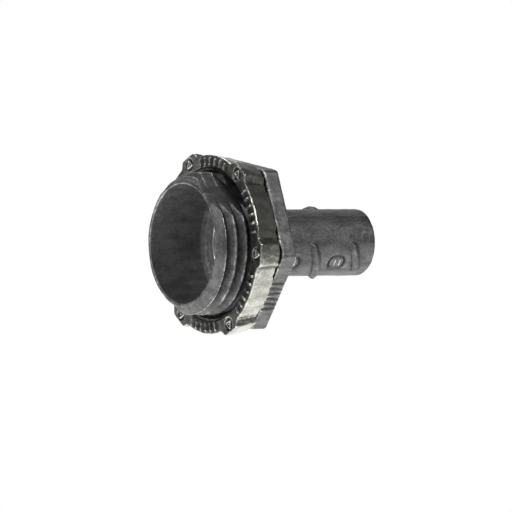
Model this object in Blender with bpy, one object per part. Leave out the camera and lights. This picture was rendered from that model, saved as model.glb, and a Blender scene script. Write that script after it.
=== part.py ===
"""Screw-in connector for flexible metal conduit, with its locknut.

Two die-cast zinc pieces. The connector body is one casting: a threaded hub that goes
through a knockout, a hexagonal flange that stops it, and a barrel whose helical lugs
screw into the conduit's own spiral. The locknut clamps the box wall against the flange.

Frame: the origin is on the centre line, in the flange face that the box wall meets.
+X runs along the barrel into the conduit, and a flat of the hexagon faces down (-Z).
Angles about the centre line start at +Z and turn right-handed about +X, towards -Y.
"""

import math

import bmesh
import bpy
from mathutils import Vector

MM = 0.001
INCH = 25.4 * MM

# Hub: the threaded end, its trade-size thread and the wide bore inside it.
HUB_LENGTH = 8.7 * MM
THREADS_PER_INCH = 14
THREAD_CREST_R = 10.4 * MM
THREAD_FLANK = math.radians(30)
CREST_FLAT = 0.35 * MM          # width of the thread's crest
GROOVE_FLAT = 0.16 * MM         # width of the groove's floor
FIRST_GROOVE = 0.38 * MM        # from the rim to the first groove, at the top of the hub
THREAD_RUN_OUT = 1.0 * MM       # plain neck between the last groove and the flange
LEAD_IN = 1.4 * MM              # length of the cone that starts the thread
RIM_BELOW_ROOT = 0.25 * MM      # the rim's radius is this much under the thread's root
FLAT_BELOW_ROOT = 0.1 * MM      # so are the two flats along the parting line
PARTING_ANGLE = math.radians(30)
HUB_WALL = 0.6 * MM             # under the thread's root, at the rim
BORE_DRAFT = 0.3 * MM           # how much smaller the bore's radius is at its floor
BORE_FILLET = 0.8 * MM
FLOOR_WALL = 1.7 * MM           # between the bore's floor and the flange's far face

# Flange: a hexagon with rounded corners and grip grooves on two opposite flats.
SEAT_WIDTH = 1.25 * MM          # flange beyond the thread's crest, at a flat
FLANGE_CORNER_R = 0.9 * MM
FLANGE_THICKNESS = 2.5 * MM
FLANGE_CHAMFER = 0.2 * MM
GRIP_COUNT = 6
GRIP_PITCH = 0.92 * MM
GRIP_WIDTH = 0.42 * MM
GRIP_DEPTH = 0.25 * MM
GRIP_OFFSET = 0.6 * MM          # middle of the grooves from the middle of their flat

# Barrel: the tube that the conduit screws onto.
BARREL_R = 4.85 * MM
BARREL_LENGTH = 19.35 * MM      # from the flange's far face
BARREL_EDGE_R = 0.45 * MM
BARREL_WALL = 0.9 * MM
BORE_FUNNEL = 1.1 * MM          # how far the barrel's bore opens out at the hub's floor

# Helical lugs: where each starts, as an angle and a distance back from the barrel's end, and
# the angle that it sweeps.
LUG_LEAD = 11.3 * MM
LUG_HEIGHT = 0.55 * MM
LUG_WIDTH = 1.6 * MM
LUG_STARTS = ((80, 11.0 * MM, 98), (80, 4.15 * MM, 66), (260, 10.2 * MM, 98), (260, 3.35 * MM, 66))

# Round sunk pads on the barrel, in line along one side.
PAD_R = 1.6 * MM
PAD_DEPTH = 0.32 * MM
PAD_ANGLE = math.radians(120)
PAD_PLACES = (14.0 * MM, 6.2 * MM)      # back from the barrel's end

# Locknut.
NUT_THICKNESS = 3.8 * MM
NUT_FACE_WIDTH = 1.75 * MM      # from the mouth to the edge between lugs
NUT_DRAFT = 0.7 * MM            # how much smaller the radius is at the back
NUT_MOUTH_WIDTH = 0.6 * MM      # how much wider the mouth is than the bore
NUT_MOUTH_DEPTH = 0.9 * MM
NUT_LUGS = 6
NUT_LUG_HEIGHT = 0.85 * MM
NUT_LUG_HALF_ANGLE = math.radians(10)
NUT_LUG_SLOPE = math.radians(3.5)
NUT_TURN = math.radians(28)     # first lug from +Z
RIBS_PER_SIDE = 6
RIB_PITCH = math.radians(6)
RIB_HEIGHT = 0.3 * MM
RIB_WIDTH = 0.42 * MM
RIB_MARGIN = 0.25 * MM          # rib ends from the nut's mouth and from its edge
MARK_R = 0.75 * MM
MARK_DEPTH = 0.2 * MM
TOOTH_COUNT = 36
TOOTH_DEPTH = 0.3 * MM

THREAD_CLEARANCE = 0.3 * MM     # nut bore to thread crest
SEAT_GAP = 0.3 * MM             # nut to flange at rest
OVERRUN = 0.5 * MM              # how far cutters pass the faces that they cut
SEGMENTS = 48

# Worked out from the sizes above.
PITCH = INCH / THREADS_PER_INCH
THREAD_ROOT_R = THREAD_CREST_R - (PITCH - CREST_FLAT - GROOVE_FLAT) / (2 * math.tan(THREAD_FLANK))
RIM_X = -HUB_LENGTH
FLANGE_ACROSS_FLATS = 2 * (THREAD_CREST_R + SEAT_WIDTH)
BARREL_END = FLANGE_THICKNESS + BARREL_LENGTH
NUT_BORE_R = THREAD_CREST_R + THREAD_CLEARANCE
NUT_MOUTH_R = NUT_BORE_R + NUT_MOUTH_WIDTH
NUT_R = NUT_MOUTH_R + NUT_FACE_WIDTH
NUT_BACK = -SEAT_GAP
NUT_FRONT = NUT_BACK - NUT_THICKNESS


def around(radius, angle, x):
    """A point at a radius and angle about the centre line."""
    return Vector((x, -radius * math.sin(angle), radius * math.cos(angle)))


def full_turn(count):
    """Evenly spaced angles, once round."""
    return [math.tau * i / count for i in range(count)]


def arc(centre_x, centre_r, radius, start, end, steps):
    """(x, r) points of a round stretch in a turned outline."""
    angles = [start + (end - start) * i / steps for i in range(steps + 1)]
    return [(centre_x + radius * math.cos(a), centre_r + radius * math.sin(a)) for a in angles]


def loft(mesh, rings):
    """Adds one closed body to a bmesh: rings of equal point counts, capped at both ends."""
    loops = [[mesh.verts.new(point) for point in ring] for ring in rings]
    faces = [mesh.faces.new(loops[0]), mesh.faces.new(loops[-1])]
    for near, far in zip(loops, loops[1:]):
        for i in range(len(near)):
            before = i - 1
            faces.append(mesh.faces.new((near[before], near[i], far[i], far[before])))
    bmesh.ops.recalc_face_normals(mesh, faces=faces)


def turned(mesh, outline):
    """Adds a solid of revolution from (x, r) points."""
    loft(mesh, [[around(r, a, x) for a in full_turn(SEGMENTS)] for x, r in outline])


def block(mesh, angle, low, high):
    """Adds a box whose three directions are along X, sideways and outward at an angle."""
    outward = around(1, angle, 0)
    sideways = around(1, angle + math.pi / 2, 0)
    rings = []
    for out in (low[2], high[2]):
        corners = ((low[0], low[1]), (high[0], low[1]), (high[0], high[1]), (low[0], high[1]))
        rings.append([Vector((x, 0, 0)) + sideways * side + outward * out for x, side in corners])
    loft(mesh, rings)


def metal(name, colour, roughness):
    """A plain cast metal."""
    material = bpy.data.materials.new(name)
    material.use_nodes = True
    shader = material.node_tree.nodes["Principled BSDF"]
    shader.inputs["Base Color"].default_value = (*colour, 1)
    shader.inputs["Metallic"].default_value = 1
    shader.inputs["Roughness"].default_value = roughness
    return material


def add_object(name, build, *values):
    """Makes an object from a function that fills a bmesh."""
    data = bmesh.new()
    build(data, *values)
    mesh = bpy.data.meshes.new(name)
    data.to_mesh(mesh)
    data.free()
    piece = bpy.data.objects.new(name, mesh)
    bpy.context.scene.collection.objects.link(piece)
    return piece


def tool(piece, operation, name, build, *values):
    """Joins a hidden tool shape to a piece, or cuts it away."""
    shape = add_object(name, build, *values)
    shape.hide_render = True
    shape.display_type = "WIRE"
    shape.parent = piece
    change = piece.modifiers.new(name, "BOOLEAN")
    change.operation = operation
    change.solver = "EXACT"
    change.object = shape
    shape.hide_set(True)


# ---------------------------------------------------------------- connector body

def hub_blank(mesh):
    """The hub before threading: a lead-in cone, and two flats along the parting line."""
    def radius(limit, angle):
        off_flat = (angle - PARTING_ANGLE + math.pi / 2) % math.pi - math.pi / 2
        return min(limit, (THREAD_ROOT_R - FLAT_BELOW_ROOT) / math.cos(off_flat))

    stations = ((RIM_X, THREAD_ROOT_R - RIM_BELOW_ROOT), (RIM_X + LEAD_IN, THREAD_CREST_R),
                (FLANGE_THICKNESS / 2, THREAD_CREST_R))
    loft(mesh, [[around(radius(limit, a), a, x) for a in full_turn(SEGMENTS)] for x, limit in stations])


def thread_groove(mesh):
    """One right-hand helical groove, from before the rim to the neck."""
    outer_r = THREAD_CREST_R + CREST_FLAT / 3
    half_floor = GROOVE_FLAT / 2
    half_mouth = half_floor + (outer_r - THREAD_ROOT_R) * math.tan(THREAD_FLANK)
    section = ((-half_floor, THREAD_ROOT_R), (half_floor, THREAD_ROOT_R), (half_mouth, outer_r),
               (-half_mouth, outer_r))
    end = -THREAD_RUN_OUT - half_mouth
    first = RIM_X + FIRST_GROOVE - 2 * PITCH
    steps = int((end - first) / PITCH * SEGMENTS)
    rings = []
    for i in range(steps + 1):
        angle = math.tau * i / SEGMENTS
        centre = first + PITCH * i / SEGMENTS
        rings.append([around(r, angle, centre + x) for x, r in section])
    loft(mesh, rings)


def hexagon(across_flats, corner_r, x):
    """Hexagon outline with a flat down and rounded corners."""
    corner_steps = 4
    centre = (across_flats / 2 - corner_r) / math.cos(math.pi / 6)
    points = []
    for corner in range(6):
        middle = math.pi / 6 + math.pi / 3 * corner
        for i in range(corner_steps + 1):
            angle = middle + math.pi / 3 * (i / corner_steps - 0.5)
            points.append(around(centre, middle, x) + around(corner_r, angle, 0))
    return points


def flange(mesh):
    """The hexagon, with a small chamfer on both faces."""
    narrow = FLANGE_ACROSS_FLATS - 2 * FLANGE_CHAMFER
    small_r = FLANGE_CORNER_R - FLANGE_CHAMFER
    loft(mesh, [
        hexagon(narrow, small_r, 0),
        hexagon(FLANGE_ACROSS_FLATS, FLANGE_CORNER_R, FLANGE_CHAMFER),
        hexagon(FLANGE_ACROSS_FLATS, FLANGE_CORNER_R, FLANGE_THICKNESS - FLANGE_CHAMFER),
        hexagon(narrow, small_r, FLANGE_THICKNESS),
    ])


def barrel(mesh):
    """The barrel's outside, rooted in the flange, with a rounded end."""
    edge = arc(BARREL_END - BARREL_EDGE_R, BARREL_R - BARREL_EDGE_R, BARREL_EDGE_R, math.pi / 2, 0, 4)
    turned(mesh, [(FLANGE_THICKNESS / 4, BARREL_R), *edge])


def barrel_lugs(mesh):
    """Helical lugs, two on each side, rounded off at both ends."""
    sunk = 0.4 * MM
    tip = 0.12
    tail = 0.18
    steps = 16
    for start, back, sweep in LUG_STARTS:
        rings = []
        for i in range(steps + 1):
            along = i / steps
            rise = min(1, along / tip, (1 - along) / tail)
            top = BARREL_R - 0.1 * MM + (LUG_HEIGHT + 0.1 * MM) * math.sin(rise * math.pi / 2)
            turn = math.radians(sweep) * along
            x = BARREL_END - back + LUG_LEAD * turn / math.tau
            angle = math.radians(start) + turn
            section = ((-0.5, BARREL_R - sunk), (-0.5, BARREL_R - 0.11 * MM), (-0.22, top),
                       (0.22, top), (0.5, BARREL_R - 0.11 * MM), (0.5, BARREL_R - sunk))
            rings.append([around(r, angle, x + w * LUG_WIDTH) for w, r in section])
        loft(mesh, rings)


def body_bore(mesh):
    """The wide bore with a rounded floor, its funnel and the barrel's bore, right through."""
    mouth_r = THREAD_ROOT_R - HUB_WALL
    inner_r = BARREL_R - BARREL_WALL
    floor = FLANGE_THICKNESS - FLOOR_WALL
    fillet = arc(floor - BORE_FILLET, mouth_r - BORE_DRAFT - BORE_FILLET, BORE_FILLET, math.pi / 2, 0, 4)
    turned(mesh, [(RIM_X - OVERRUN, mouth_r), (RIM_X, mouth_r), *fillet,
                  (floor, inner_r + BORE_FUNNEL), (floor + BORE_FUNNEL, inner_r),
                  (BARREL_END + OVERRUN, inner_r)])


def grip_grooves(mesh):
    """Grooves along X in the two flats that face the die's draw."""
    flat = FLANGE_ACROSS_FLATS / 2
    for side in (math.radians(120), math.radians(300)):
        for i in range(GRIP_COUNT):
            middle = GRIP_OFFSET + GRIP_PITCH * (i - (GRIP_COUNT - 1) / 2)
            block(mesh, side, (-OVERRUN, middle - GRIP_WIDTH / 2, flat - GRIP_DEPTH),
                  (FLANGE_THICKNESS + OVERRUN, middle + GRIP_WIDTH / 2, flat + OVERRUN))


def barrel_pads(mesh):
    """Round sunk pads on one side of the barrel."""
    outward = around(1, PAD_ANGLE, 0)
    sideways = around(1, PAD_ANGLE + math.pi / 2, 0)
    for back in PAD_PLACES:
        middle = Vector((BARREL_END - back, 0, 0))
        rim = [Vector((PAD_R * math.cos(a), 0, 0)) + sideways * PAD_R * math.sin(a) for a in full_turn(20)]
        heights = (BARREL_R - PAD_DEPTH, BARREL_R + OVERRUN)
        loft(mesh, [[middle + outward * h + point for point in rim] for h in heights])


def connector_body():
    piece = add_object("connector_body", hub_blank)
    tool(piece, "UNION", "flange_shape", flange)
    tool(piece, "UNION", "barrel_shape", barrel)
    tool(piece, "UNION", "barrel_lug_shapes", barrel_lugs)
    tool(piece, "DIFFERENCE", "bore_cutter", body_bore)
    tool(piece, "DIFFERENCE", "thread_cutter", thread_groove)
    tool(piece, "DIFFERENCE", "grip_cutters", grip_grooves)
    tool(piece, "DIFFERENCE", "pad_cutters", barrel_pads)
    return piece


# ---------------------------------------------------------------- locknut

def lug_angles():
    """The middle of each of the nut's lugs."""
    return [NUT_TURN + angle for angle in full_turn(NUT_LUGS)]


def nut_blank(mesh):
    """A ring blank with six sloped lugs round its edge."""
    side_steps = 5
    half_top = NUT_LUG_HALF_ANGLE - NUT_LUG_SLOPE
    side = math.tau / NUT_LUGS - 2 * NUT_LUG_HALF_ANGLE
    outline = []
    for middle in lug_angles():
        for i in range(3):
            outline.append((NUT_R + NUT_LUG_HEIGHT, middle + half_top * (i - 1)))
        for i in range(side_steps + 1):
            outline.append((NUT_R, middle + NUT_LUG_HALF_ANGLE + side * i / side_steps))
    loft(mesh, [[around(r - draft, angle, x) for r, angle in outline]
                for x, draft in ((NUT_FRONT, 0), (NUT_BACK, NUT_DRAFT))])


def nut_ribs(mesh):
    """Raised radial ribs on the front face, between the lugs."""
    for middle in lug_angles():
        for i in range(RIBS_PER_SIDE):
            angle = middle + math.pi / NUT_LUGS + RIB_PITCH * (i - (RIBS_PER_SIDE - 1) / 2)
            block(mesh, angle, (NUT_FRONT - RIB_HEIGHT, -RIB_WIDTH / 2, NUT_MOUTH_R + RIB_MARGIN),
                  (NUT_FRONT + OVERRUN, RIB_WIDTH / 2, NUT_R - RIB_MARGIN))


def nut_bore(mesh):
    """The bore that clears the thread, and its open mouth."""
    turned(mesh, [(NUT_FRONT - OVERRUN, NUT_MOUTH_R), (NUT_FRONT, NUT_MOUTH_R),
                  (NUT_FRONT + NUT_MOUTH_DEPTH, NUT_BORE_R), (NUT_BACK + OVERRUN, NUT_BORE_R)])


def nut_marks(mesh):
    """A small round sunk mark on each lug's front."""
    middle_r = (NUT_MOUTH_R + NUT_R + NUT_LUG_HEIGHT) / 2
    for angle in lug_angles():
        middle = around(middle_r, angle, 0)
        disc = [around(MARK_R, a, 0) for a in full_turn(12)]
        depths = (NUT_FRONT - OVERRUN, NUT_FRONT + MARK_DEPTH)
        loft(mesh, [[middle + point + Vector((x, 0, 0)) for point in disc] for x in depths])


def nut_teeth(mesh):
    """V notches across the back face, whose crests bite the box wall."""
    half = math.pi / TOOTH_COUNT * 0.7
    inner_r = NUT_BORE_R - OVERRUN
    outer_r = NUT_R + NUT_LUG_HEIGHT + OVERRUN
    for angle in full_turn(TOOTH_COUNT):
        middle = angle + NUT_TURN + math.pi / TOOTH_COUNT
        rings = []
        for r in (inner_r, outer_r):
            rings.append([around(r, middle - half, NUT_BACK + SEAT_GAP / 3),
                          around(r, middle + half, NUT_BACK + SEAT_GAP / 3),
                          around(r, middle, NUT_BACK - TOOTH_DEPTH)])
        loft(mesh, rings)


def locknut():
    piece = add_object("locknut", nut_blank)
    tool(piece, "DIFFERENCE", "nut_bore_cutter", nut_bore)
    tool(piece, "DIFFERENCE", "tooth_cutters", nut_teeth)
    tool(piece, "DIFFERENCE", "mark_cutters", nut_marks)
    tool(piece, "UNION", "rib_shapes", nut_ribs)
    return piece


def main():
    for old in list(bpy.data.objects):
        bpy.data.objects.remove(old)
    for make, colour, roughness in (
        (connector_body, (0.20, 0.20, 0.20), 0.5),
        (locknut, (0.13, 0.13, 0.12), 0.5),
    ):
        piece = make()
        piece.data.materials.append(metal("cast_zinc_" + piece.name, colour, roughness))
        piece.data.shade_smooth()
        piece.data.set_sharp_from_angle(angle=math.radians(30))


main()
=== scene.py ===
# %% [markdown]
# # A die-cast conduit connector and its locknut
# The object is a small electrician's fitting, about 30 mm long, in two pieces. Both are die-cast
# zinc: molten metal forced into a steel mould, knocked out, tumbled and left bare. That history
# gives the looks. Edges are soft, corners have fillets, the skin is uneven, and tumbling has
# rubbed the high spots bright while the low ones stay dark. The dark of the low spots is
# deepened with painted shade, the lip inside the bore gets a painted highlight, and the bore is
# painted lighter in place of the light that reaches into it.
#
# The imported CAD model gives every place and size that matters. This script builds a finer skin
# of each casting in the same place, and lets it stand for the plain CAD solid.

# %% Load the fixed frame
import math

import bpy
import numpy as np
from mathutils import Matrix, Quaternion, Vector


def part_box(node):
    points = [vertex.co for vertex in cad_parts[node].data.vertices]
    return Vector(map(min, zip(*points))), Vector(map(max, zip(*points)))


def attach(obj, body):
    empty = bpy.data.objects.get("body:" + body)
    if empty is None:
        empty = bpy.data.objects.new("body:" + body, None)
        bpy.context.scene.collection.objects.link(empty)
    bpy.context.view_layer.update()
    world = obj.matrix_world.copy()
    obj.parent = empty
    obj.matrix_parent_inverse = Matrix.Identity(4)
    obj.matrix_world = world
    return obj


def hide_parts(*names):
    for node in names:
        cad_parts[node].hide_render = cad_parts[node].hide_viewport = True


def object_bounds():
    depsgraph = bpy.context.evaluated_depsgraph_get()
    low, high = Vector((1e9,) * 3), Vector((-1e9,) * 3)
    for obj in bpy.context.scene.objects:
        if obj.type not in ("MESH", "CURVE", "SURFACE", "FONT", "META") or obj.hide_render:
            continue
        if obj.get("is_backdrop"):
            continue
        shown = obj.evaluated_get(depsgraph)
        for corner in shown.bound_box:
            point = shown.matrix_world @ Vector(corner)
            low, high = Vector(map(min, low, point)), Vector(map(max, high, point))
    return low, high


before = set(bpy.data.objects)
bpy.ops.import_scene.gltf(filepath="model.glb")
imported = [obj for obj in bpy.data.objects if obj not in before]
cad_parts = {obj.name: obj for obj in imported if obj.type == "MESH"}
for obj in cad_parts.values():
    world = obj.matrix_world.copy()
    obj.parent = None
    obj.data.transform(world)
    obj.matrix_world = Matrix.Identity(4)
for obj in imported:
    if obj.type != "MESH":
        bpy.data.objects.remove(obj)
cad_low, cad_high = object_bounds()
print("CAD box in mm:", [round(1000 * v, 2) for v in (*cad_low, *cad_high)])

# %% [markdown]
# ## Sizes
# Everything here is modelled in millimetres and scaled to metres once, at the end, because a
# remesh grid of a tenth of a millimetre is easier to read as 0.1 than as 0.0001. The outer
# sizes are read from the CAD boxes. Those that no box shows, such as the thread's pitch or the
# barrel's radius, are repeated here with the values that the CAD has.

# %% Sizes from the frame
M = 1000

body_low, body_high = (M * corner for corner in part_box("connector_body"))
nut_low, nut_high = (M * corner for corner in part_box("locknut"))

RIM_X = body_low.x
BARREL_END = body_high.x
HEX_FLAT = body_high.z
FLANGE_THICKNESS = 2.5
FLANGE_CORNER_R = 0.9

PITCH = 25.4 / 14
CREST_R = 10.4
FLANK = math.radians(30)
CREST_FLAT = 0.35
GROOVE_FLAT = 0.16
ROOT_R = CREST_R - (PITCH - CREST_FLAT - GROOVE_FLAT) / (2 * math.tan(FLANK))
FIRST_GROOVE = 0.38
RUN_OUT = 1.0
LEAD_IN = 1.4
RIM_R = ROOT_R - 0.25
FLAT_AT = ROOT_R - 0.1
PARTING = math.radians(30)

BORE_R = ROOT_R - 0.6
BORE_DRAFT = 0.3
BORE_FLOOR_X = FLANGE_THICKNESS - 1.7
BARREL_R = 4.85
BARREL_BORE_R = 3.95

RIB_HEIGHT = 0.3
NUT_FRONT = nut_low.x + RIB_HEIGHT
NUT_BACK = nut_high.x
NUT_R = 13.05
NUT_LUG_R = 13.9
NUT_BORE_R = 10.7
NUT_MOUTH_R = 11.3
NUT_DRAFT = 0.7
NUT_TURN = math.radians(28)


def around(radius, angle, x):
    """A point about the centre line; angles start at the top and turn right-handed about +X."""
    return (x, -radius * math.sin(angle), radius * math.cos(angle))


def turn(count):
    """Evenly spaced angles, once round."""
    return [math.tau * i / count for i in range(count)]


print(f"thread root {ROOT_R:.2f} mm, nut from {NUT_FRONT:.2f} to {NUT_BACK:.2f} mm")

# %% [markdown]
# ## Shells that a remesh joins
# A casting is one skin with no joint lines, which is awkward to draw as one mesh and easy to
# draw as overlapping closed shells. A voxel remesh keeps only the outer skin of everything
# that overlaps, so it welds them for us, and a little smoothing after it rounds each edge and
# fills each corner the way molten metal does. Booleans could join the shells too, but they
# leave knife edges that a casting never has.

# %% Shell helpers
def add_shell(verts, faces, rings, closed=False):
    """Adds rings of points as one closed shell: capped at both ends, or joined end to end."""
    start = len(verts)
    count = len(rings[0])
    for ring in rings:
        verts.extend(ring)
    spans = len(rings) if closed else len(rings) - 1
    for k in range(spans):
        near = start + k * count
        far = start + (k + 1) % len(rings) * count
        for i in range(count):
            j = (i + 1) % count
            faces.append((near + i, near + j, far + j, far + i))
    if not closed:
        faces.append(tuple(start + i for i in reversed(range(count))))
        faces.append(tuple(start + (len(rings) - 1) * count + i for i in range(count)))


def span(start, end, count):
    """Evenly spaced numbers from start to end, both included."""
    return [start + (end - start) * i / (count - 1) for i in range(count)]


def corner(x, r, size, start, end, steps=5):
    """A rounded corner of an (x, r) outline: points about (x, r) between two angles in degrees."""
    angles = [math.radians(a) for a in span(start, end, steps)]
    return [(x + size * math.cos(a), r + size * math.sin(a)) for a in angles]


def apply_modifiers(piece):
    """Turns what the modifiers show into the piece's own mesh."""
    seen = piece.evaluated_get(bpy.context.evaluated_depsgraph_get())
    old, piece.data = piece.data, bpy.data.meshes.new_from_object(seen)
    piece.modifiers.clear()
    bpy.data.meshes.remove(old)


def cast_skin(name, verts, faces, grid, rounding):
    """Welds overlapping shells into one skin and rounds its edges and corners."""
    shells = bpy.data.meshes.new(name)
    shells.from_pydata(verts, [], faces)
    piece = bpy.data.objects.new(name, shells)
    bpy.context.scene.collection.objects.link(piece)
    weld = piece.modifiers.new("weld", "REMESH")
    weld.mode = "VOXEL"
    weld.voxel_size = grid
    soften = piece.modifiers.new("soften", "SMOOTH")
    soften.factor = 0.5
    soften.iterations = rounding
    apply_modifiers(piece)
    print(f"{name}: {len(verts)} shell points welded into {len(piece.data.vertices)}")
    return piece


# %% [markdown]
# ## The connector body, stage by stage
# The body is one casting. Its hub is a thin tube with a thread outside, its flange is a hexagon
# for a wrench, and its barrel is a narrow tube that the conduit screws onto. One closed outline,
# walked from the rim along the outside and back through the bore, gives all three. Each station
# of that outline is a whole ring of points, and a small rule says how far out the ring reaches
# at each angle, so that a round tube can turn into a hexagon and back.

# %% Reach of the hub and the flange at each angle
def flat_limit(angle):
    """How far out the hub may reach: two flats along the parting line cut it short."""
    off = (angle - PARTING + math.pi / 2) % math.pi - math.pi / 2
    return FLAT_AT / max(math.cos(off), 0.01)


def hexagon(angle, inset):
    """Radius of a hexagon with rounded corners and a flat down, made smaller by an inset."""
    corner_r = FLANGE_CORNER_R - inset
    centre = (HEX_FLAT - FLANGE_CORNER_R) / math.cos(math.pi / 6)
    off = abs(angle % (math.pi / 3) - math.pi / 6)
    arc_end = math.atan2(corner_r / 2, centre + corner_r * math.cos(math.pi / 6))
    if off < arc_end:
        return centre * math.cos(off) + math.sqrt(corner_r**2 - (centre * math.sin(off)) ** 2)
    return (HEX_FLAT - inset) / math.cos(math.pi / 6 - off)


def same(r):
    """A reach that is the same all round."""
    return lambda angle: r


def with_flats(r):
    """A round reach that the hub's two flats cut short."""
    return lambda angle: min(r, flat_limit(angle))


print(f"flange: {2 * HEX_FLAT:.2f} mm across flats, {2 * hexagon(math.pi / 6, 0):.2f} across corners")

# %% The casting's outline, once round its wall
EDGE = 0.22
LIP_R = 6.15

hub_side = [(RIM_X, RIM_R), (RIM_X + 0.15, ROOT_R), (-RUN_OUT - 0.75, ROOT_R),
            (-RUN_OUT, CREST_R), (0, CREST_R)]
flange_side = [(EDGE * (1 - math.cos(a)), EDGE * (1 - math.sin(a))) for a in span(0, math.pi / 2, 4)]
flange_side += [(FLANGE_THICKNESS - x, inset) for x, inset in reversed(flange_side)]
barrel_side = corner(FLANGE_THICKNESS + 0.5, BARREL_R + 0.5, 0.5, 180, 270)
barrel_side += corner(BARREL_END - 0.5, BARREL_R - 0.5, 0.5, 90, 0)
inner_r = BORE_R - BORE_DRAFT
bore_side = [(BARREL_END, BARREL_BORE_R + 0.15), (BARREL_END - 0.2, BARREL_BORE_R),
             (BORE_FLOOR_X + 1.1, BARREL_BORE_R), (BORE_FLOOR_X + 0.1, LIP_R - 0.35),
             (BORE_FLOOR_X - 0.35, LIP_R - 0.15), (BORE_FLOOR_X - 0.35, LIP_R + 0.15),
             (BORE_FLOOR_X, LIP_R + 0.4)]
bore_side += corner(BORE_FLOOR_X - 0.8, inner_r - 0.8, 0.8, 0, 90)
bore_side += [(RIM_X + 0.12, BORE_R), (RIM_X, BORE_R + 0.1)]

stations = [(x, with_flats(r)) for x, r in hub_side]
stations += [(x, lambda angle, inset=inset: hexagon(angle, inset)) for x, inset in flange_side]
stations += [(x, same(r)) for x, r in barrel_side + bore_side]
casting_verts, casting_faces = [], []
add_shell(casting_verts, casting_faces,
          [[around(reach(a), a, x) for a in turn(540)] for x, reach in stations], closed=True)
print(len(stations), "stations round the wall of the casting")

# %% [markdown]
# ## The thread
# A die-cast thread comes out of the mould as it is, with no cutting, so its crests are blunt
# and its first turn fades in along a cone. The ridge is swept as its own shell along a helix.
# At each step its section is worked out as heights across the ridge, and each height is the
# lowest of four limits: the crest, the sloping flank, the lead-in cone and the flats. The same
# rule, with its flanks the other way up, later gives the thread inside the locknut, so that
# the two fit one another with a little air between them.

# %% A swept thread
def sweep_thread(verts, faces, first_turn, last_turn, section, per_turn=200):
    """Sweeps a section along the thread's helix; turn 0 is the first groove at the top."""
    rings = []
    for i in range(int((last_turn - first_turn) * per_turn) + 1):
        turns = first_turn + i / per_turn
        angle = math.tau * turns
        centre = RIM_X + FIRST_GROOVE + PITCH * turns
        rings.append([around(r, angle, x) for x, r in section(centre, angle)])
    add_shell(verts, faces, rings)


def hub_ridge(centre, angle):
    """Section of the ridge that stands on the hub."""
    base = ROOT_R - 0.3
    heights = []
    for w in span(-0.9, 0.9, 15):
        x = max(centre + w, RIM_X + 0.04)
        flank = CREST_R - max(0, abs(x - centre) - CREST_FLAT / 2) / math.tan(FLANK)
        cone = RIM_R + (x - RIM_X) * (CREST_R - RIM_R) / LEAD_IN
        heights.append((x, max(base + 0.02, min(CREST_R, flank, cone, flat_limit(angle)))))
    return [(heights[0][0], base), *heights, (heights[-1][0], base)]


grooves_run = (-RUN_OUT - RIM_X - FIRST_GROOVE) / PITCH
sweep_thread(casting_verts, casting_faces, -0.15, grooves_run - 0.1, hub_ridge)
print(f"thread: pitch {PITCH:.3f} mm, about {grooves_run:.1f} turns on the hub")

# %% [markdown]
# ## Lugs on the barrel
# Four short helical lugs screw into the conduit's own spiral. Each rises at once at its leading
# tip, so that it bites, and is rounded off at its tail. They are swept like the thread, with a
# longer lead and a wider section, and their height follows how far along the lug we are. Each
# start is an angle in degrees, a distance back from the barrel's end, and a sweep in degrees.
# The section is steep on the flange's side and slopes gently towards the barrel's end.

# %% The barrel's lugs
LUG_LEAD = 11.3
LUG_HEIGHT = 0.55
LUG_WIDTH = 1.6
LUG_SECTION = ((-0.5, 0), (-0.4, 0.45), (-0.28, 0.85), (-0.14, 1),
               (0.02, 0.92), (0.22, 0.6), (0.38, 0.25), (0.5, 0))
LUG_STARTS = ((80, 11.0, 98), (80, 4.15, 66), (260, 10.2, 98), (260, 3.35, 66))

for start, back, sweep in LUG_STARTS:
    rings = []
    for along in span(0, 1, 60):
        rise = math.sin(min(1, along / 0.12, (1 - along) / 0.18) * math.pi / 2)
        angle = math.radians(sweep) * along
        x = BARREL_END - back + LUG_LEAD * angle / math.tau
        section = [(w, BARREL_R - 0.15 + (LUG_HEIGHT + 0.15) * rise * h) for w, h in LUG_SECTION]
        section = [(-0.5, BARREL_R - 0.4), *section, (0.5, BARREL_R - 0.4)]
        rings.append([around(r, math.radians(start) + angle, x + w * LUG_WIDTH)
                      for w, r in section])
    add_shell(casting_verts, casting_faces, rings)
print(len(LUG_STARTS), "lugs")

# %% [markdown]
# ## Welding the body and pressing in its marks
# With all shells in place the remesh makes one skin. Small sunk features are then pressed into
# it by moving the points that lie inside them. That needs no cutting, keeps the skin in one
# piece, and rounds the features' edges as the mould did.

# %% Weld the body
casting = cast_skin("connector_casting", casting_verts, casting_faces, 0.1, 4)


# %% Tools that press marks into a skin
def points_of(piece):
    """Positions of a piece's points, a row for each."""
    points = np.empty(len(piece.data.vertices) * 3, np.float32)
    piece.data.vertices.foreach_get("co", points)
    return points.reshape(-1, 3).astype(float)


def put_points(piece, points):
    """Moves a piece's points to new positions."""
    piece.data.vertices.foreach_set("co", points.astype(np.float32).ravel())
    piece.data.update()


def fade(values, start, end):
    """Smooth change from 0 to 1 while a value goes from start to end."""
    t = np.clip((values - start) / (end - start), 0, 1)
    return t * t * (3 - 2 * t)


def directions(angle):
    """Outward and sideways unit vectors at an angle about the centre line."""
    return np.array(around(1, angle, 0)), np.array(around(1, angle + math.pi / 2, 0))


def line(distance, width):
    """Height of a raised line, from 0 to 1, at a distance from its middle."""
    return 1 - fade(abs(distance), 0.3 * width, 0.8 * width)


# %% Press the body's marks
GRIP_COUNT = 6
GRIP_PITCH = 0.92
GRIP_DEPTH = 0.18
GRIP_HALF_WIDTH = 0.36
GRIP_OFFSET = 0.6       # middle of the row from the middle of its flat
PAD_R = 1.6
PAD_DEPTH = 0.32
PAD_ANGLE = math.radians(120)
PAD_PLACES = (14.0, 6.2)        # back from the barrel's end
SEAM_HEIGHT = 0.04

skin = points_of(casting)

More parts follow.
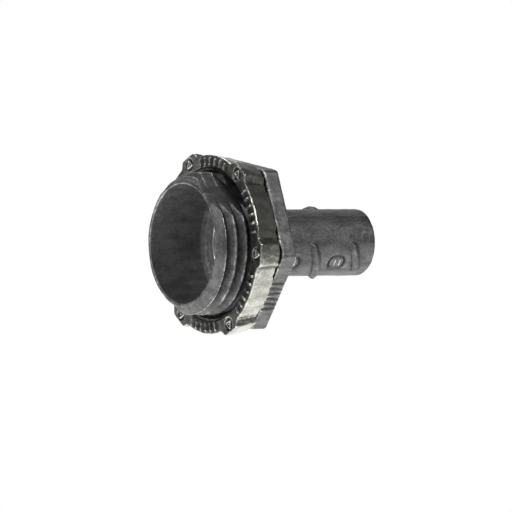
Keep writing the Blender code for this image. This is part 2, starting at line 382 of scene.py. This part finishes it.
for side in (PAD_ANGLE, PAD_ANGLE + math.pi):
    outward, sideways = directions(side)
    out, across = skin @ outward, skin @ sideways
    for i in range(GRIP_COUNT):
        lean = 0.12 * math.sin(2.3 * i) * (skin[:, 0] - 1.2)
        off = abs(across - GRIP_OFFSET - GRIP_PITCH * (i - (GRIP_COUNT - 1) / 2) - lean)
        floor = HEX_FLAT - GRIP_DEPTH * (1 - fade(off, 0.0, GRIP_HALF_WIDTH))
        press = (out > floor) & (off < GRIP_HALF_WIDTH + 0.02)
        press &= (skin[:, 0] > -0.1) & (skin[:, 0] < FLANGE_THICKNESS + 0.1)
        skin[press] -= np.outer((out - floor)[press], outward)

outward, sideways = directions(PAD_ANGLE)
for back in PAD_PLACES:
    out, across = skin @ outward, skin @ sideways
    distance = np.hypot(skin[:, 0] - BARREL_END + back, across)
    bars = np.maximum(line(skin[:, 0] - BARREL_END + back - 0.4, 0.24),
                      line(skin[:, 0] - BARREL_END + back + 0.4, 0.24)) * line(across, 1.1)
    plate = 0.16 * (1 - fade(distance, 1.0, 1.16))
    floor = BARREL_R - PAD_DEPTH + plate + 0.16 * bars
    press = (out > BARREL_R - 0.8) & (distance < PAD_R + 0.3)
    press &= np.hypot(out, across) > BARREL_R - 0.5
    depth = (out - floor) * (1 - fade(distance, PAD_R - 0.25, PAD_R + 0.2))
    skin[press] -= np.outer(depth[press], outward)

for side in (PARTING, PARTING + math.pi):
    outward, sideways = directions(side)
    out, across = skin @ outward, skin @ sideways
    seam = SEAM_HEIGHT * np.exp(-((across / 0.09) ** 2)) * (out > BARREL_R - 0.5)
    seam *= (skin[:, 0] > FLANGE_THICKNESS + 0.4) | ((skin[:, 0] < -0.2) & (out > ROOT_R - 0.4))
    skin += np.outer(seam, outward)

put_points(casting, skin)
print("pressed 12 grip grooves, 2 pads and 2 seams")

# %% [markdown]
# ## The locknut
# The nut is a ring with six lugs, which a screwdriver knocks round to tighten it. Its front
# carries short raised ribs between the lugs, and its back has teeth that bite the box wall. It
# is built like the body: a ring with a reach at each angle, ribs and thread as more shells, one
# weld, and then the teeth and the round marks pressed in.

# %% Ring, ribs and inner thread of the nut
LUG_ANGLES = [NUT_TURN + a for a in turn(6)]
RIBS_PER_SIDE = 6
RIB_PITCH = math.radians(6)


def nut_reach(x, inset):
    """Radius of the nut's edge at each angle, less an inset; the mould's draft narrows the back."""
    drawn_in = inset + NUT_DRAFT * (x - NUT_FRONT) / (NUT_BACK - NUT_FRONT)

    def reach(angle):
        off = abs((angle - NUT_TURN + math.pi / 6) % (math.pi / 3) - math.pi / 6)
        rise = min(1, max(0, (math.radians(10) - off) / math.radians(3.5)))
        return NUT_R - drawn_in + (NUT_LUG_R - NUT_R) * rise
    return reach


nut_edge = [(NUT_FRONT, 0.2), (NUT_FRONT + 0.06, 0.06), (NUT_FRONT + 0.2, 0),
            (NUT_BACK - 0.15, 0), (NUT_BACK, 0.12)]
nut_bore = [(NUT_BACK, NUT_BORE_R + 0.15), (NUT_BACK - 0.15, NUT_BORE_R),
            (NUT_FRONT + 0.9, NUT_BORE_R), (NUT_FRONT, NUT_MOUTH_R)]
stations = [(x, nut_reach(x, inset)) for x, inset in nut_edge]
stations += [(x, same(r)) for x, r in nut_bore]
nut_verts, nut_faces = [], []
add_shell(nut_verts, nut_faces,
          [[around(reach(a), a, x) for a in turn(720)] for x, reach in stations], closed=True)

for middle in LUG_ANGLES:
    for i in range(RIBS_PER_SIDE):
        off_middle = RIB_PITCH * (i - (RIBS_PER_SIDE - 1) / 2)
        outward, sideways = directions(middle + math.pi / 6 + off_middle)
        rings = []
        for r, rise in ((NUT_MOUTH_R + 0.15, 0.5), (NUT_MOUTH_R + 0.3, 1), (NUT_R - 0.5, 1),
                        (NUT_R - 0.28, 0.2)):
            profile = ((0.3, -0.24), (0, -0.24), (-RIB_HEIGHT * rise, -0.13),
                       (-RIB_HEIGHT * rise, 0.13), (0, 0.24), (0.3, 0.24))
            rings.append([tuple(outward * r + sideways * w + np.array((NUT_FRONT + x, 0, 0)))
                          for x, w in profile])
        add_shell(nut_verts, nut_faces, rings)


def nut_ridge(centre, angle):
    """Section of the ridge inside the nut, which sits in the hub's groove with a little air."""
    air = 0.13
    heights = []
    for w in span(-0.8, 0.8, 11):
        x = centre + w
        flank = ROOT_R + (abs(w) + air - GROOVE_FLAT / 2) / math.tan(FLANK)
        mouth = NUT_MOUTH_R - 0.1 - 0.8 * (x - NUT_FRONT)
        back = NUT_BORE_R - 0.3 + (x - NUT_BACK)
        heights.append((min(max(x, NUT_FRONT + 0.3), NUT_BACK - 0.1),
                        min(NUT_BORE_R + 0.1, max(ROOT_R + 0.3, flank, mouth, back))))
    return [(heights[0][0], NUT_BORE_R + 0.5), *heights, (heights[-1][0], NUT_BORE_R + 0.5)]


nut_first = (NUT_FRONT - RIM_X - FIRST_GROOVE) / PITCH
nut_last = (NUT_BACK - RIM_X - FIRST_GROOVE) / PITCH
sweep_thread(nut_verts, nut_faces, nut_first, nut_last, nut_ridge)
nut = cast_skin("locknut_casting", nut_verts, nut_faces, 0.1, 3)

# %% Press the nut's teeth and marks
TOOTH_DEPTH = 0.3
MARK_R = 0.95
MARK_DEPTH = 0.2
HANG = 0.15     # how far the loose nut sinks on its thread

skin = points_of(nut)
angles = np.arctan2(-skin[:, 1], skin[:, 2])
off = abs((angles - NUT_TURN) % (math.pi / 18) - math.pi / 36)
notch = NUT_BACK - TOOTH_DEPTH * np.clip(1.1 - off / (math.pi / 36 * 0.7), 0, 1)
skin[:, 0] = np.minimum(skin[:, 0], notch)

for middle in LUG_ANGLES:
    centre = np.array(around((NUT_MOUTH_R + NUT_LUG_R) / 2, middle, 0))
    outward, sideways = directions(middle)
    out, across = (skin - centre) @ outward, (skin - centre) @ sideways
    distance = np.hypot(out, across)
    sides = np.maximum(-out, (out + abs(across) * math.sqrt(3)) / 2)
    emblem = np.maximum(line(sides - 0.34, 0.16), line(distance, 0.2))
    floor = NUT_FRONT + MARK_DEPTH - 0.24 * emblem
    press = (skin[:, 0] < NUT_FRONT + 0.15) & (distance < MARK_R + 0.2)
    depth = (floor - skin[:, 0]) * (1 - fade(distance, MARK_R - 0.12, MARK_R + 0.1))
    skin[press, 0] += depth[press]

skin[:, 2] -= HANG
put_points(nut, skin)
print(f"pressed 36 teeth and 6 marks, and let the loose nut hang {HANG} mm on its thread")

# %% [markdown]
# ## Cast and tumbled skin
# Two things make bare die-cast zinc look like itself. First, the skin isn't true: it swells and
# sinks by a few hundredths of a millimetre, because the metal froze unevenly and the parts then
# banged about in a drum. Displacement with a cloudy pattern does that. Second, the tumbling
# polished what stands out and left grime in what doesn't. To find the high and low spots, the
# skin is compared with a much smoothed copy of itself: a point above the copy is an edge or a
# crest, and a point below it is in a corner or a groove. The low spots are darkened for grime
# and also as painted shade, and the lip at the bore's floor is raised with the high spots as a
# painted highlight. How squarely each point faces out, and where the bore's walls and floor are
# painted lighter, is noted as well. The result is stored on the points, where the material can
# read it.

# %% Roughen the skin and note its high and low spots
def cloud_over(piece, size, strength):
    """Lets the skin swell and sink by a cloudy pattern of a given size, both in mm."""
    clouds = bpy.data.textures.new(f"clouds of {size} mm", "CLOUDS")
    clouds.noise_scale = size
    clouds.noise_depth = 1
    swell = piece.modifiers.new("swell", "DISPLACE")
    swell.texture = clouds
    swell.strength = strength
    swell.mid_level = 0.5


def relief(piece, rounds):
    """Height of each point above a copy of the skin smoothed that many times, in mm."""
    skin = points_of(piece)
    edges = np.empty(len(piece.data.edges) * 2, np.int32)
    piece.data.edges.foreach_get("vertices", edges)
    a, b = edges[0::2], edges[1::2]
    share = 0.5 / np.bincount(edges, minlength=len(skin))
    calm = skin.copy()
    for _ in range(rounds):
        for k in range(3):
            pull = np.bincount(a, calm[b, k], len(skin)) + np.bincount(b, calm[a, k], len(skin))
            calm[:, k] = 0.5 * calm[:, k] + share * pull
    normals = np.empty(len(skin) * 3, np.float32)
    piece.data.vertices.foreach_get("normal", normals)
    return ((skin - calm) * normals.reshape(-1, 3)).sum(axis=1)


def note(piece, name, values):
    """Stores one number on each point for the material to read."""
    layer = piece.data.attributes.new(name, "FLOAT", "POINT")
    layer.data.foreach_set("value", values.astype(np.float32))


def facing_out(piece):
    """How squarely each point faces away from the centre line, from -1 to 1, and its radius."""
    skin = points_of(piece)
    normals = np.empty(len(skin) * 3, np.float32)
    piece.data.vertices.foreach_get("normal", normals)
    r = np.hypot(skin[:, 1], skin[:, 2])
    facing = (normals.reshape(-1, 3)[:, 1:] * skin[:, 1:]).sum(axis=1) / r
    return facing, r


def finish_skin(piece, most_faces, rub):
    """Uneven skin, noted relief, fewer faces, and metres in place of millimetres."""
    cloud_over(piece, 2.2, 0.09)
    cloud_over(piece, 0.55, 0.05)
    apply_modifiers(piece)
    near, wide = relief(piece, 12), relief(piece, 70)
    x = points_of(piece)[:, 0]
    barrel_share = fade(x, FLANGE_THICKNESS + 0.3, FLANGE_THICKNESS + 0.8)
    # The lip at the bore's floor is pushed up with the rubbed edges: a painted highlight.
    lip = (abs(x - BORE_FLOOR_X) < 0.5) & (np.hypot(*points_of(piece)[:, 1:].T) < LIP_R + 0.3)
    note(piece, "rubbed_and_lip_highlight", near * (rub - 0.25 * barrel_share + 1.5 * lip))
    # Low spots: the material darkens them for grime and as painted shade.
    note(piece, "sunk", -wide)
    facing, r = facing_out(piece)
    note(piece, "outer", fade(facing, 0.55, 0.85) * (r > NUT_BORE_R + 0.6))
    # The bore's inside, and most of all its floor, is painted lighter: painted light in place of light
    # reaching in.
    floor = (r < BORE_R - 0.1) & (abs(x - BORE_FLOOR_X) < 0.9)
    note(piece, "painted_bore_light", np.maximum(0.33 * fade(-facing, 0.3, 0.8), floor))
    triangles = 2 * len(piece.data.polygons)
    thin = piece.modifiers.new("thin out", "DECIMATE")
    thin.ratio = min(1, most_faces / triangles)
    apply_modifiers(piece)
    piece.data.transform(Matrix.Scale(1 / M, 4))
    piece.data.polygons.foreach_set("use_smooth", [True] * len(piece.data.polygons))
    print(f"{piece.name}: {len(piece.data.polygons)} faces; relief in mm at every tenth of the points:")
    print("  close up", np.percentile(near, range(0, 101, 10)).round(3))
    print("  overall ", np.percentile(wide, range(0, 101, 10)).round(3))


finish_skin(casting, 190000, 1.0)
finish_skin(nut, 150000, 1.15)

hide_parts("connector_body")
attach(casting, "connector")
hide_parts("locknut")
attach(nut, "locknut")

# %% [markdown]
# ## Tumbled zinc
# Zinc is a bluish grey metal. Die-cast and left bare it soon goes dull and dark, and only where
# it is rubbed does it stay bright. So the material is metal all over, with two greys for the
# dull skin, in blotches of a millimetre or two, a brighter grey for the rubbed edges, which also
# paints a highlight on the lip at the bore's floor, and a darker one for the corners, which is
# grime and painted shade. The outer faces have a pair of greys of their own, which tumbling
# reaches. The inside of the bore has a lighter pair, a painted lightening that stands in for
# light reaching its walls and floor. The same masks drive the roughness: rubbed metal is
# smoother. A fine grain in the bump stands for the skin's pits, a few tenths of a millimetre.

# %% Material helpers
def colour(code):
    """An sRGB hex colour as the linear numbers that shaders work in."""
    parts = [int(code[i:i + 2], 16) / 255 for i in (0, 2, 4)]
    return (*[p / 12.92 if p <= 0.04045 else ((p + 0.055) / 1.055) ** 2.4 for p in parts], 1)


def add_node(tree, kind, inputs=(), **settings):
    """Adds one node. inputs are (socket, value or output socket) pairs."""
    node = tree.nodes.new(kind)
    for name, value in settings.items():
        setattr(node, name, value)
    for socket, value in inputs:
        if isinstance(value, bpy.types.NodeSocket):
            tree.links.new(value, node.inputs[socket])
        else:
            node.inputs[socket].default_value = value
    return node


def tumbled_zinc(name, dull_dark, dull_light, rubbed_and_lip_highlight, grime_and_painted_shade, roughness, outer, outer_roughness,
                 painted_bore_light):
    """Bare die-cast zinc: blotched skin, rubbed edges with a painted lip highlight, grime and painted
    shade in corners, and a painted lighter bore.
    """
    material = bpy.data.materials.new(name)
    material.use_nodes = True
    tree = material.node_tree
    shader = tree.nodes["Principled BSDF"]

    def mix(share, a, b):
        return add_node(tree, "ShaderNodeMix", [(0, share), (6, a), (7, b)],
                        data_type="RGBA").outputs[2]

    def ramp(value, start, end, low=0.0, high=1.0):
        return add_node(tree, "ShaderNodeMapRange", [
            ("Value", value), ("From Min", start), ("From Max", end), ("To Min", low),
            ("To Max", high)], interpolation_type="SMOOTHSTEP").outputs[0]

    def times_plus(a, b, c):
        return add_node(tree, "ShaderNodeMath", [(0, a), (1, b), (2, c)],
                        operation="MULTIPLY_ADD").outputs[0]

    place = add_node(tree, "ShaderNodeTexCoord").outputs["Object"]
    mm = add_node(tree, "ShaderNodeVectorMath", [(0, place), ("Scale", M)],
                  operation="SCALE").outputs[0]
    drawn = add_node(tree, "ShaderNodeVectorMath", [(0, mm), (1, (0.35, 1, 1))],
                     operation="MULTIPLY").outputs[0]
    blotches, grain = (
        add_node(tree, "ShaderNodeTexNoise", [("Vector", along), ("Scale", 1 / size), ("Detail", 3.0),
                                              ("Roughness", 0.65)]).outputs["Fac"]
        for along, size in ((drawn, 1.3), (mm, 0.33)))
    height, depth, side, bore_light_share = (
        add_node(tree, "ShaderNodeAttribute", attribute_name=note).outputs["Fac"]
        for note in ("rubbed_and_lip_highlight", "sunk", "outer", "painted_bore_light"))

    skin = mix(ramp(times_plus(grain, 0.8, blotches), 0.7, 1.1), colour(dull_dark), colour(dull_light))
    rough = times_plus(grain, 0.2, roughness - 0.1)
    bare = ramp(times_plus(blotches, 0.6, side), 0.6, 1.2)
    mottle = ramp(times_plus(grain, 0.6, blotches), 0.6, 1.0)
    skin = mix(bare, skin, mix(mottle, colour(outer[0]), colour(outer[1])))
    rough = mix_number(tree, bare, rough, outer_roughness)
    # Painted light: the bore's inside takes a lighter pair of greys, in place of light reaching in.
    skin = mix(bore_light_share, skin, mix(mottle, colour(painted_bore_light[0]), colour(painted_bore_light[1])))
    rough = mix_number(tree, bore_light_share, rough, 0.7)
    # Darker grey in corners and grooves: grime, and painted shade.
    grime_and_shade_share = ramp(times_plus(blotches, 0.04, depth), 0.04, 0.14, 0, 0.85)
    # Rubbed edges brighten as wear; at the lip in the bore this is a painted highlight.
    wear_and_lip_highlight = ramp(times_plus(grain, 0.03, times_plus(blotches, 0.06, height)), 0.065, 0.12)
    metal = mix(wear_and_lip_highlight, mix(grime_and_shade_share, skin, colour(grime_and_painted_shade)), colour(rubbed_and_lip_highlight))
    rough = mix_number(tree, wear_and_lip_highlight, rough, 0.3)
    pits = add_node(tree, "ShaderNodeBump", [("Height", grain), ("Strength", 0.3),
                                             ("Distance", 0.00004)])

    tree.links.new(metal, shader.inputs["Base Color"])
    tree.links.new(rough, shader.inputs["Roughness"])
    tree.links.new(pits.outputs[0], shader.inputs["Normal"])
    shader.inputs["Metallic"].default_value = 1.0
    return material


def mix_number(tree, share, a, b):
    """Mixes two numbers."""
    return add_node(tree, "ShaderNodeMix", [(0, share), (2, a), (3, b)]).outputs[0]


# For the body, 1e1e1e is grime and painted shade, and the pale a0a2a2 and c8c8c8 pair is painted light
# in the bore.
body_zinc = tumbled_zinc("tumbled die-cast zinc", "565656", "747474", "d8d8d6", "1e1e1e", 0.56,
                         ("5a5a5a", "767676"), 0.5, ("a0a2a2", "c8c8c8"))
nut_zinc = tumbled_zinc("tumbled die-cast zinc, darker", "464644", "6a6a66", "d4d4d0", "20201f", 0.5,
                        ("8a8a82", "b4b4ac"), 0.26, ("464644", "6a6a66"))
for piece, finish in ((casting, body_zinc), (nut, nut_zinc)):
    piece.data.materials.clear()
    piece.data.materials.append(finish)
print("materials:", body_zinc.name, "/", nut_zinc.name)

# %% [markdown]
# ## Camera
# A small part is shot from a long way off with a long lens, so that near and far sides look the
# same size. The camera stands in front and to the hub's side, a little above the part's middle,
# and is rolled a few degrees. It looks at a point a little beside the part's middle.

# %% A long lens at the hub's side
VIEW_WIDTH = 0.0744
azimuth, elevation, roll = math.radians(-33.47), math.radians(6.07), math.radians(3.46)
back = Vector((math.sin(azimuth) * math.cos(elevation), -math.cos(azimuth) * math.cos(elevation),
               math.sin(elevation)))
turned = back.to_track_quat("Z", "Y") @ Quaternion((0, 0, 1), roll)
turned = Quaternion((1, 0, 0), math.radians(-1.5)) @ turned
back = turned @ Vector((0, 0, 1))
lens = bpy.data.cameras.new("long lens")
lens.sensor_width = 36
lens.lens = 1000
distance = lens.lens / lens.sensor_width * VIEW_WIDTH
middle = (cad_low + cad_high) / 2
aim = middle + turned @ Vector((-0.0021, -0.0019, 0))
camera = bpy.data.objects.new("camera", lens)
camera.location = aim + back * distance
camera.rotation_mode = "QUATERNION"
camera.rotation_quaternion = turned
lens.clip_start = 0.05
lens.clip_end = 50
bpy.context.scene.collection.objects.link(camera)
bpy.context.scene.camera = camera
print(f"camera {distance:.2f} m away, view {1000 * VIEW_WIDTH:.1f} mm wide")

# %% [markdown]
# ## Light table and soft studio light
# Small parts are often shot on a light table: a white sheet lit from below, far enough under
# the part that it throws no shadow. Metal shows what it reflects, so the table is what makes
# the undersides bright, and the dim room above is what keeps the tops dark. The world does the
# room: white where the camera looks straight at it, for a clean background, and a dim grey that
# fades upwards, and grows brighter behind the part, for everything else. Three small soft lamps
# stand in front, overhead and at the hub's side, the last to reach into the bore.

# %% Floor, room and lamps
def emitter(name, strength):
    """A pale surface that glows evenly."""
    material = bpy.data.materials.new(name)
    material.use_nodes = True
    shader = material.node_tree.nodes["Principled BSDF"]
    shader.inputs["Base Color"].default_value = colour("f4f4f2")
    shader.inputs["Roughness"].default_value = 0.9
    shader.inputs["Emission Color"].default_value = (1, 1, 1, 1)
    shader.inputs["Emission Strength"].default_value = strength
    return material


TABLE_HALF = 0.45
TABLE_Z = -0.12
corners = ((-1, -1), (1, -1), (1, 1), (-1, 1))
sheet = bpy.data.meshes.new("light table")
sheet.from_pydata([(TABLE_HALF * x, TABLE_HALF * y, TABLE_Z) for x, y in corners],
                  [], [(0, 1, 2, 3)])
table = bpy.data.objects.new("light table", sheet)
table.data.materials.append(emitter("lit white acrylic sheet", 1.12))
bpy.context.scene.collection.objects.link(table)
table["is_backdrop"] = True

room = bpy.data.worlds.new("dim room")
room.use_nodes = True
tree = room.node_tree
tree.nodes.clear()
way = add_node(tree, "ShaderNodeTexCoord").outputs["Generated"]
axes = add_node(tree, "ShaderNodeSeparateXYZ", [(0, way)])
up = add_node(tree, "ShaderNodeMapRange", [("Value", axes.outputs["Z"]), ("From Min", -0.05),
                                           ("From Max", 0.3), ("To Min", 0.3), ("To Max", 0.1)],
              interpolation_type="SMOOTHSTEP").outputs[0]
behind = add_node(tree, "ShaderNodeMapRange", [("Value", axes.outputs["Y"]), ("From Min", 0.3),
                                               ("From Max", 0.95), ("To Min", 0.0), ("To Max", 0.55)],
                  interpolation_type="SMOOTHSTEP").outputs[0]
glow = add_node(tree, "ShaderNodeMath", [(0, up), (1, behind)], operation="ADD").outputs[0]
dim = add_node(tree, "ShaderNodeBackground", [("Strength", glow)])
bright = add_node(tree, "ShaderNodeBackground", [("Strength", 1.0)])
seen = add_node(tree, "ShaderNodeLightPath").outputs["Is Camera Ray"]
both = add_node(tree, "ShaderNodeMixShader", [(0, seen), (1, dim.outputs[0]), (2, bright.outputs[0])])
add_node(tree, "ShaderNodeOutputWorld", [("Surface", both.outputs[0])])
bright.inputs["Color"].default_value = (1, 1, 1, 1)
dim.inputs["Color"].default_value = (1, 1, 1, 1)
bpy.context.scene.world = room


def softbox(name, place, size, watts):
    """A square soft lamp that faces the part."""
    lamp = bpy.data.lights.new(name, "AREA")
    lamp.size = size
    lamp.energy = watts
    light = bpy.data.objects.new(name, lamp)
    light.location = place
    light.rotation_euler = (middle - light.location).to_track_quat("-Z", "Y").to_euler()
    bpy.context.scene.collection.objects.link(light)


softbox("front lamp", Vector((0.06, -0.29, 0.26)), 0.12, 0.7)
softbox("overhead lamp", Vector((0.05, 0.24, 0.33)), 0.15, 0.45)
softbox("hub-side lamp", Vector((-0.31, -0.09, 0.28)), 0.15, 0.6)
bpy.context.scene.view_settings.view_transform = "Standard"
print(f"table {-M * TABLE_Z:.0f} mm below the centre line, three soft lamps")

# %% [markdown]
# ## Sizes, and the end
# The finer skins have to stay the size of the CAD model, so both boxes are written down
# side by side.

low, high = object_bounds()
for name, corner_a, corner_b in (("CAD", cad_low, cad_high), ("visual", low, high)):
    print(name, "box in mm:", [round(M * v, 2) for v in (*corner_a, *corner_b)])
